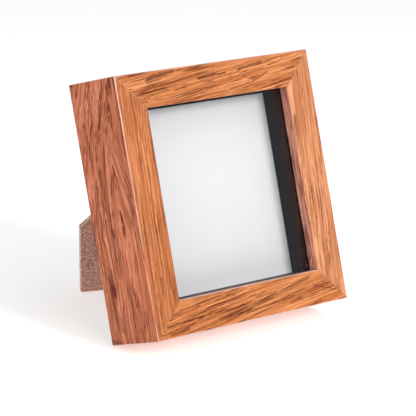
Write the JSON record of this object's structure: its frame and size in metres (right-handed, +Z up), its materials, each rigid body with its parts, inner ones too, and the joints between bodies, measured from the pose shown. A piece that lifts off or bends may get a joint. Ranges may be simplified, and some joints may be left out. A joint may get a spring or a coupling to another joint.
{
  "type": "coin display frame",
  "caption": "Square deep box frame with mitred wood-effect rails, a glazed display space over a plain insert, and a folding strut that stands it on a table.",
  "frame": {"origin": "middle of the box that the frame fills when it stands on its opened strut, at table height", "axes": "+Z up from the table, -Y towards the viewer, +X to the viewer's right; the frame leans back 20 degrees towards +Y"},
  "size_m": [0.14, 0.1152, 0.1444],
  "materials": {
    "rail_foil": "oak-effect foil, satin",
    "glazing": "clear, polished",
    "spacer_black": "satin black",
    "raw_spacer": "raw grey board",
    "insert_white": "smooth white card",
    "backboard_fibre": "raw fibreboard, sealed back",
    "leg_fibre": "raw fibreboard",
    "nail_steel": "bright steel strip",
    "zinc_steel": "zinc plated"
  },
  "bodies": {
    "frame": {"rail_top": "rail_foil", "rail_bottom": "rail_foil", "rail_left": "rail_foil", "rail_right": "rail_foil", "corner_nails": "nail_steel", "glass": "glazing", "front_spacer_top": "spacer_black", "front_spacer_bottom": "spacer_black", "front_spacer_left": "spacer_black", "front_spacer_right": "spacer_black", "insert_card": "insert_white", "rear_spacer_top": "raw_spacer", "rear_spacer_bottom": "raw_spacer", "rear_spacer_left": "raw_spacer", "rear_spacer_right": "raw_spacer", "backboard": "backboard_fibre", "button_screws": "zinc_steel", "hinge_fixed_leaf": "zinc_steel", "hinge_pin": "zinc_steel", "board_rivets": "zinc_steel", "hanger_top": "zinc_steel", "hanger_side": "zinc_steel", "hanger_screws": "zinc_steel"},
    "leg": {"strut_leg": "leg_fibre", "hinge_moving_leaf": "zinc_steel", "leg_rivets": "zinc_steel"},
    "button_top": {"turn_button_top": "zinc_steel"},
    "button_bottom": {"turn_button_bottom": "zinc_steel"},
    "button_left": {"turn_button_left": "zinc_steel"},
    "button_right": {"turn_button_right": "zinc_steel"}
  },
  "joints": [
    {"name": "strut_fold", "type": "hinge", "parent": "frame", "child": "leg", "pos_m": [0, 0.01584, 0.09797], "axis": [0.9205, -0.1336, -0.3672], "range_deg": [-41.3, 0]},
    {"name": "button_top_turn", "type": "hinge", "parent": "frame", "child": "button_top", "pos_m": [0.044, 0.02442, 0.12518], "axis": [0, 0.9397, -0.342], "range_deg": [-90, 90]},
    {"name": "button_bottom_turn", "type": "hinge", "parent": "frame", "child": "button_bottom", "pos_m": [0.044, -0.01902, 0.00583], "axis": [0, 0.9397, -0.342], "range_deg": [-90, 90]},
    {"name": "button_left_turn", "type": "hinge", "parent": "frame", "child": "button_left", "pos_m": [-0.0635, 0.01775, 0.10685], "axis": [0, 0.9397, -0.342], "range_deg": [-90, 90]},
    {"name": "button_right_turn", "type": "hinge", "parent": "frame", "child": "button_right", "pos_m": [0.0635, 0.01775, 0.10685], "axis": [0, 0.9397, -0.342], "range_deg": [-90, 90]}
  ]
}
